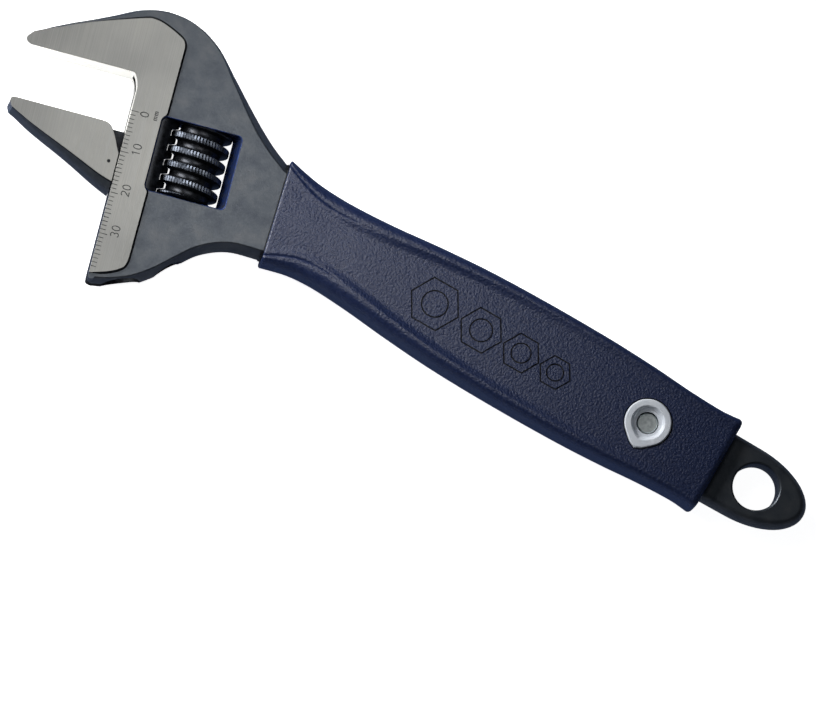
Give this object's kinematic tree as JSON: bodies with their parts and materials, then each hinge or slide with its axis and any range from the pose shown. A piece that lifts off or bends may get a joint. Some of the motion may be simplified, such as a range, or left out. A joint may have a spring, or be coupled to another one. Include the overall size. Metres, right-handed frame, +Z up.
{
  "type": "adjustable wrench",
  "caption": "Adjustable wrench with wide-opening angled jaws, a thumb worm, a millimetre scale and a moulded grip with a hanging eye.",
  "frame": {"origin": "middle of the fixed jaw's working face, at mid thickness", "axes": "+X along the handle, from the jaws to the hanging eye; +Y across the handle, to the fixed jaw's side; +Z up through the thickness, with the tool lying flat. The jaws' faces are turned 15 degrees from X about Z"},
  "size_m": [0.2146, 0.0662, 0.016],
  "materials": {
    "blackened_steel": "forged steel, black phosphate, satin",
    "ground_steel": "ground along the jaws, dull",
    "plain_steel": "as turned or drawn",
    "grip_elastomer": "moulded, fine grain, matt",
    "hard_plastic": "moulded, satin grey"
  },
  "bodies": {
    "body": {"body": "blackened_steel", "worm_pin": "blackened_steel", "worm_spring": "plain_steel", "grip": "grip_elastomer", "grip_liner": "hard_plastic", "bezel_front": "hard_plastic", "bezel_back": "hard_plastic", "rivet": "plain_steel"},
    "jaw": {"movable_jaw": "ground_steel"},
    "worm": {"worm": "blackened_steel"}
  },
  "joints": [
    {"name": "jaw_slide", "type": "slide", "parent": "body", "child": "jaw", "axis": [-0.2588, 0.9659, 0], "range_m": [-0.025, 0.0127]},
    {"name": "worm_spin", "type": "hinge", "parent": "body", "child": "worm", "pos_m": [0.03551, -0.00829, 0], "axis": [-0.2588, 0.9659, 0], "range_deg": [-2501, 1271]}
  ],
  "couplings": [
    {"joint": "worm_spin", "follows": "jaw_slide", "rad_per_m": 1745.3}
  ]
}
